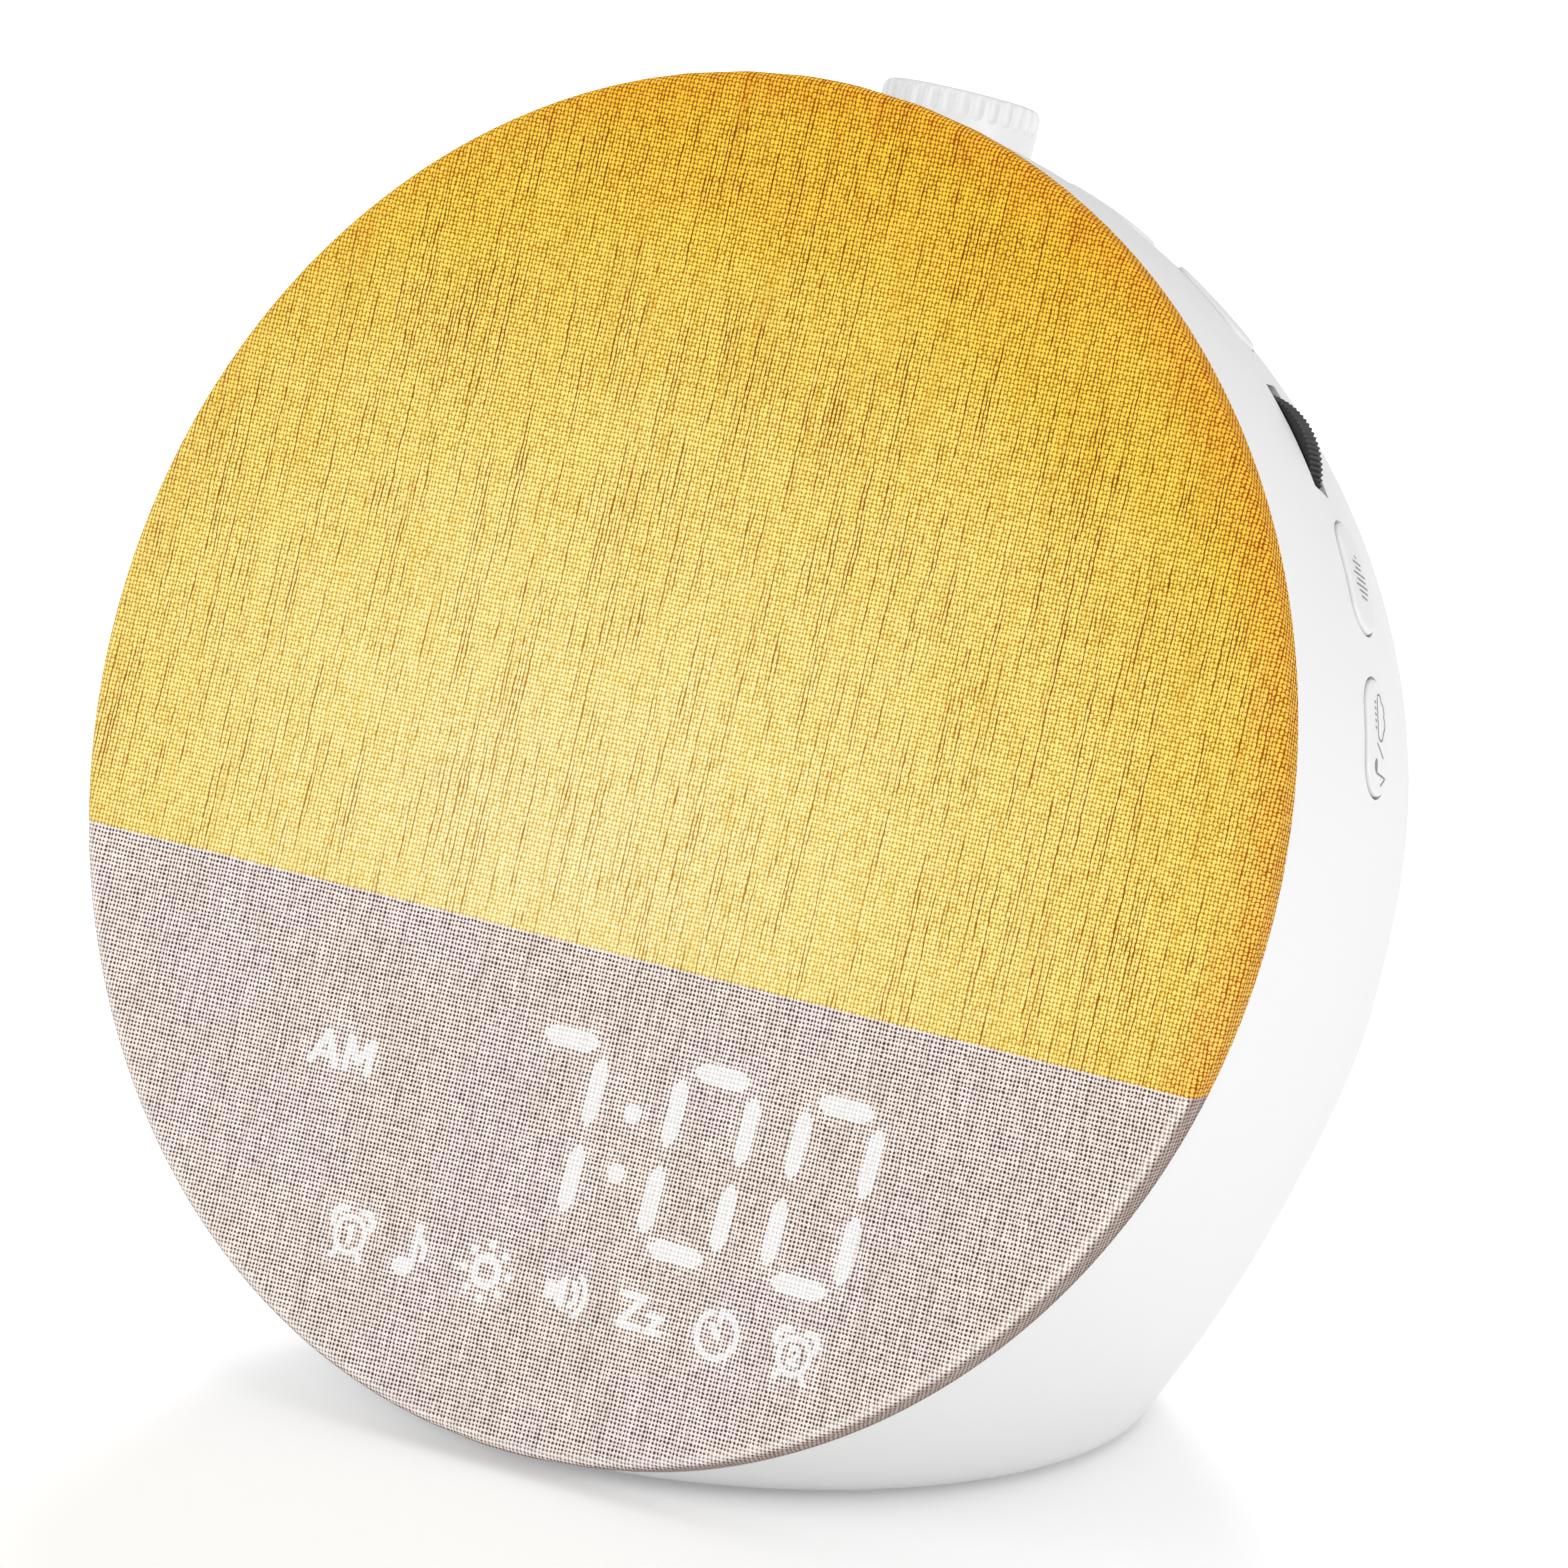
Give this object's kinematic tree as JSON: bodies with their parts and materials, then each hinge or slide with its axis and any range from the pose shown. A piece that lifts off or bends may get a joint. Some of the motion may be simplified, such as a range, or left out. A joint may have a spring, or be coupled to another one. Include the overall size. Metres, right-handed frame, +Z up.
{
  "type": "sunrise alarm clock",
  "caption": "Bedside wake-up light with a leaning round linen face over an amber lamp and a display, on a white hollow body with a dimmer knob, a volume wheel and push buttons.",
  "frame": {"origin": "middle of the outline on the surface that the clock stands on", "axes": "+Z up, the face looks towards -Y and leans back, +X to the right of a person facing the clock"},
  "size_m": [0.16, 0.1117, 0.1549],
  "materials": {
    "white_plastic": "fine satin moulding",
    "white_controls": "satin",
    "linen": "plain weave",
    "charcoal_plastic": "satin",
    "grey_plastic": "fine grain",
    "inner_plastic": "plain",
    "diffuser": "milky",
    "reflector_white": "bright white",
    "mask_black": "printed black",
    "circuit_board": "solder mask",
    "led": "clear",
    "component_black": "plain",
    "connector_white": "plain",
    "steel": "zinc plated",
    "turned_metal": "turned",
    "cone_paper": "pressed paper",
    "rubber": "soft"
  },
  "bodies": {
    "case": {"rear_shell": "white_plastic", "fabric_cover": "linen", "front_frame": "inner_plastic", "light_diffuser": "diffuser", "reflector": "reflector_white", "light_board": "circuit_board", "light_leds": "led", "display_window": "diffuser", "display_mask": "mask_black", "display_guides": "diffuser", "display_housing": "inner_plastic", "display_leds": "led", "display_board": "circuit_board", "chassis": "inner_plastic", "control_board": "circuit_board", "switch_bodies": "component_black", "volume_pot": "component_black", "encoder_board": "circuit_board", "encoder_body": "component_black", "speaker_basket": "steel", "speaker_magnet": "steel", "speaker_gasket": "rubber", "main_board": "circuit_board", "main_chips": "component_black", "capacitors": "component_black", "connectors": "connector_white", "cell_holder": "inner_plastic", "backup_cell": "steel", "power_jack": "component_black", "jack_pin": "turned_metal", "base_plate": "grey_plastic", "rubber_feet": "rubber", "base_screws": "steel", "small_screws": "steel"},
    "knob_plunger": {"encoder_pin": "turned_metal"},
    "knob": {"knob_cap": "white_controls", "encoder_shaft": "turned_metal"},
    "volume_wheel": {"volume_wheel": "charcoal_plastic", "wheel_spindle": "turned_metal", "wheel_screw": "steel"},
    "speaker_cone": {"speaker_cone": "cone_paper"},
    "alarm_one_button": {"alarm_one_button": "white_controls", "alarm_one_switch_plunger": "component_black"},
    "alarm_two_button": {"alarm_two_button": "white_controls", "alarm_two_switch_plunger": "component_black"},
    "light_button": {"light_button": "white_controls", "light_switch_plunger": "component_black"},
    "sound_button": {"sound_button": "white_controls", "sound_switch_plunger": "component_black"}
  },
  "joints": [
    {"name": "knob_press", "type": "slide", "parent": "case", "child": "knob_plunger", "axis": [0, -0.2924, -0.9563], "range_m": [0, 0.0006], "stiffness_N_per_m": 3000, "springref_m": -0.0004},
    {"name": "knob_turn", "type": "hinge", "parent": "knob_plunger", "child": "knob", "pos_m": [0, 0.01745, 0.1432], "axis": [0, 0.2924, 0.9563], "continuous": true},
    {"name": "volume_turn", "type": "hinge", "parent": "case", "child": "volume_wheel", "pos_m": [0.05241, 0.00109, 0.11739], "axis": [0, -0.9563, 0.2924], "range_deg": [-135, 135]},
    {"name": "speaker_move", "type": "slide", "parent": "case", "child": "speaker_cone", "axis": [0, 1, 0], "range_m": [-0.0005, 0.0005], "stiffness_N_per_m": 2000},
    {"name": "alarm_one_press", "type": "slide", "parent": "case", "child": "alarm_one_button", "axis": [-0.3371, -0.2753, -0.9003], "range_m": [0, 0.0005], "stiffness_N_per_m": 3000, "springref_m": -0.0003},
    {"name": "alarm_two_press", "type": "slide", "parent": "case", "child": "alarm_two_button", "axis": [-0.549, -0.2444, -0.7993], "range_m": [0, 0.0005], "stiffness_N_per_m": 3000, "springref_m": -0.0003},
    {"name": "light_press", "type": "slide", "parent": "case", "child": "light_button", "axis": [-0.8721, -0.1431, -0.468], "range_m": [0, 0.0005], "stiffness_N_per_m": 3000, "springref_m": -0.0003},
    {"name": "sound_press", "type": "slide", "parent": "case", "child": "sound_button", "axis": [-0.9622, -0.0796, -0.2604], "range_m": [0, 0.0005], "stiffness_N_per_m": 3000, "springref_m": -0.0003}
  ]
}
